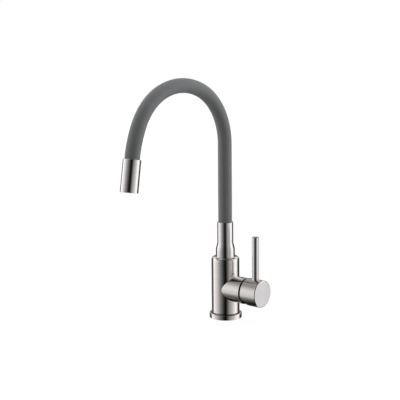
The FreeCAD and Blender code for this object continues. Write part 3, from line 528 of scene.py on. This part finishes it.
outlet_place, outlet_heading, _ = route_place(OUTLET_START)
OUTLET_AXIS = (tuple(outlet_place), tuple(outlet_heading))
outlet_steel = turned_steel("outlet_steel", OUTLET_AXIS, STEEL_TINTS, BRIGHT_FINISH)
for node in ("outlet_housing", "aerator_shell"):
    dress(node, outlet_steel)

# Stage: a white floor and world, a screen that the steel mirrors and one that lights the matt pieces

STUDIO_RADIUS = 1.8
STUDIO_CENTRE = Vector((0.0, 0.0, 0.1))
# Brightness of the studio by the angle from the camera, to its right and to its left
RIGHT_LEVELS = (
    (0, 0.0), (8, 0.03), (15, 0.11), (25, 0.26), (35, 0.4), (45, 0.49), (55, 0.63), (65, 0.78),
    (75, 0.96), (84, 1.15), (90, 1.25), (104, 1.15), (112, 0.8), (117, 0.3), (121, 0.1), (150, 0.1),
    (157, 0.4), (180, 0.25),
)
LEFT_LEVELS = (
    (0, 0.0), (8, 0.012), (15, 0.035), (25, 0.1), (35, 0.19), (45, 0.29), (55, 0.44), (65, 0.62),
    (75, 0.77), (85, 0.92), (96, 1.0), (105, 1.2), (112, 1.35), (116, 0.8), (121, 0.16), (150, 0.16),
    (157, 0.4), (180, 0.25),
)
# Share of that brightness by elevation: at the camera's right, at its left and behind the object
RIGHT_HEIGHTS = (
    (-90, 0.3), (-60, 0.25), (-48, 0.2), (-36, 0.4), (-26, 1.0), (-12, 1.0), (-7, 1.15), (12, 1.1),
    (24, 1.0), (36, 0.7), (48, 0.5), (64, 0.1), (90, 0.0),
)
LEFT_HEIGHTS = (
    (-60, 0.01), (-48, 0.11), (-36, 0.32), (-30, 0.62), (-22, 1.0), (-12, 1.0), (-7, 1.2), (12, 1.2),
    (24, 1.0), (36, 0.6), (48, 0.28), (64, 0.1), (90, 0.0),
)
BACK_HEIGHTS = (
    (-60, 0.05), (-48, 0.1), (-36, 0.2), (-24, 0.5), (-12, 0.6), (4, 0.5), (12, 0.6), (20, 1.0),
    (44, 1.0), (60, 0.5), (90, 0.0),
)
# The angle from the camera where the back starts
BACK_START = 118.0
# Lit bands: each has its brightness by elevation, and its share by the angle from the camera.
# One is low at both sides behind the object, and one is high, mostly at the left.
LOW_BAND = ((9, 0.0), (16, 0.6), (24, 0.8), (38, 0.8), (44, 0.0))
LOW_BAND_SHARES = (
    (-180, 0.15), (-168, 0.25), (-155, 1.0), (-118, 1.0), (-100, 0.0), (100, 0.0), (118, 1.0),
    (155, 1.0), (168, 0.25), (180, 0.15),
)
HIGH_BAND = ((54, 0.0), (60, 0.8), (68, 0.8), (80, 0.2), (90, 0.08))
HIGH_BAND_SHARES = (
    (-180, 0.6), (-150, 1.0), (-110, 1.0), (-80, 0.4), (-50, 0.1), (60, 0.1), (110, 0.4), (180, 0.6),
)
# The third is the pale worktop at the right, which the tilted cap mirrors
WORKTOP_BAND = ((-90, 0.55), (-52, 0.55), (-34, 0.0))
WORKTOP_SHARES = ((-180, 0.0), (50, 0.0), (90, 1.0), (160, 1.0), (180, 0.0))
BANDS = (
    (LOW_BAND, LOW_BAND_SHARES), (WORKTOP_BAND, WORKTOP_SHARES), (HIGH_BAND, HIGH_BAND_SHARES),
)
# The matt pieces have a screen of their own, by the same angles: its front is dark too, and little
# light comes from below
SHADE_LEVELS = (
    (-180, 0.4), (-140, 0.6), (-112, 1.15), (-84, 1.05), (-72, 0.8), (-60, 0.54), (-40, 0.24),
    (-20, 0.07), (0, 0.05), (20, 0.09), (40, 0.3), (60, 0.62), (72, 0.88), (84, 1.05), (112, 1.15),
    (140, 0.6), (180, 0.4),
)
SHADE_HEIGHTS = ((-90, 0.35), (-50, 0.5), (-20, 1.0))
# The white of the world comes in above this elevation
SHADE_TOP = 62.0
ALL_ROUND = (-180.0, 180.0)
SCREEN_TURN_STEP = 3.0
SCREEN_RISE_STEP = 4.0
FLOOR_RADIUS = 6.0
FLOOR_SIDES = 96
FLOOR_GREY = (0.9, 0.9, 0.9, 1.0)
WHITE = (1.0, 1.0, 1.0, 1.0)
# The floor glows white where it is seen, but for a small matt share that takes the shadow
FLOOR_GLOW = 1.06
FLOOR_GLOW_SHARE = 0.9


def between(steps, place):
    """The value at a place along (place, value) steps."""
    if place <= steps[0][0]:
        return steps[0][1]
    for (near, low), (far, high) in zip(steps, steps[1:]):
        if place <= far:
            return low + (high - low) * (place - near) / (far - near)
    return steps[-1][1]


def studio_level(azimuth, elevation):
    """Brightness of the studio that the steel mirrors."""
    levels, heights = LEFT_LEVELS, LEFT_HEIGHTS
    if azimuth > 0:
        levels, heights = RIGHT_LEVELS, RIGHT_HEIGHTS
    if abs(azimuth) > BACK_START:
        heights = BACK_HEIGHTS
    level = between(levels, abs(azimuth)) * between(heights, elevation)
    for band, shares in BANDS:
        level += between(band, elevation) * between(shares, azimuth)
    return level


def shade_level(azimuth, elevation):
    """Brightness of the screen that lights the matt pieces."""
    return between(SHADE_LEVELS, azimuth) * between(SHADE_HEIGHTS, elevation)


def link_stage(name, data):
    thing = bpy.data.objects.new(name, data)
    bpy.context.scene.collection.objects.link(thing)
    return thing


def stage_material(name):
    material = bpy.data.materials.new(name)
    material.use_nodes = True
    material.node_tree.nodes.clear()
    return material


def show(tree, shader):
    """Makes the shader the material's surface."""
    add_node(tree, "ShaderNodeOutputMaterial", {"Surface": shader.outputs[0]})


def make_floor():
    mesh = bmesh.new()
    bmesh.ops.create_circle(mesh, cap_ends=True, segments=FLOOR_SIDES, radius=FLOOR_RADIUS)
    data = bpy.data.meshes.new("floor")
    mesh.to_mesh(data)
    mesh.free()
    floor = link_stage("floor", data)
    material = stage_material("floor_white")
    tree = material.node_tree
    seen = add_node(tree, "ShaderNodeLightPath").outputs["Is Camera Ray"]
    share = calculate(tree, "MULTIPLY", seen, FLOOR_GLOW_SHARE)
    matt = add_node(tree, "ShaderNodeBsdfDiffuse", {"Color": FLOOR_GREY})
    glow = add_node(tree, "ShaderNodeEmission", {"Color": WHITE, "Strength": FLOOR_GLOW})
    show(tree, add_node(
        tree, "ShaderNodeMixShader", {0: share, 1: matt.outputs[0], 2: glow.outputs[0]}
    ))
    floor.data.materials.append(material)
    floor.visible_glossy = False
    floor.visible_diffuse = False


def make_screen(name, elevations, level):
    """A glowing curved screen; level gives its brightness by the angle from the camera."""
    mesh = bmesh.new()
    rows = []
    brightness = []
    for elevation in even_steps(*elevations, SCREEN_RISE_STEP):
        row = []
        for azimuth in even_steps(*ALL_ROUND, SCREEN_TURN_STEP):
            rise = math.radians(elevation)
            direction = horizontal(CAMERA_AZIMUTH + azimuth) * math.cos(rise)
            direction.z = math.sin(rise)
            row.append(mesh.verts.new(STUDIO_CENTRE + direction * STUDIO_RADIUS))
            brightness.append(level(azimuth, elevation))
        rows.append(row)
    for lower, upper in zip(rows, rows[1:]):
        for number in range(len(lower) - 1):
            mesh.faces.new((lower[number], lower[number + 1], upper[number + 1], upper[number]))
    data = bpy.data.meshes.new(name)
    mesh.to_mesh(data)
    mesh.free()
    data.shade_smooth()
    values = data.attributes.new("brightness", "FLOAT", "POINT")
    values.data.foreach_set("value", brightness)
    screen = link_stage(name, data)
    material = stage_material(name)
    tree = material.node_tree
    amount = add_node(tree, "ShaderNodeAttribute", attribute_name="brightness").outputs["Fac"]
    show(tree, add_node(tree, "ShaderNodeEmission", {"Strength": amount}))
    data.materials.append(material)
    screen.visible_camera = False
    screen.visible_shadow = False
    return screen


def make_world():
    world = bpy.data.worlds.new("studio")
    bpy.context.scene.world = world
    world.use_nodes = True
    back = world.node_tree.nodes["Background"]
    back.inputs["Color"].default_value = WHITE
    back.inputs["Strength"].default_value = 1.0


make_floor()
make_world()
studio = make_screen("studio_screen", (-90.0, 90.0), studio_level)
studio.visible_diffuse = False
shade = make_screen("shade_screen", (-90.0, SHADE_TOP), shade_level)
shade.visible_glossy = False
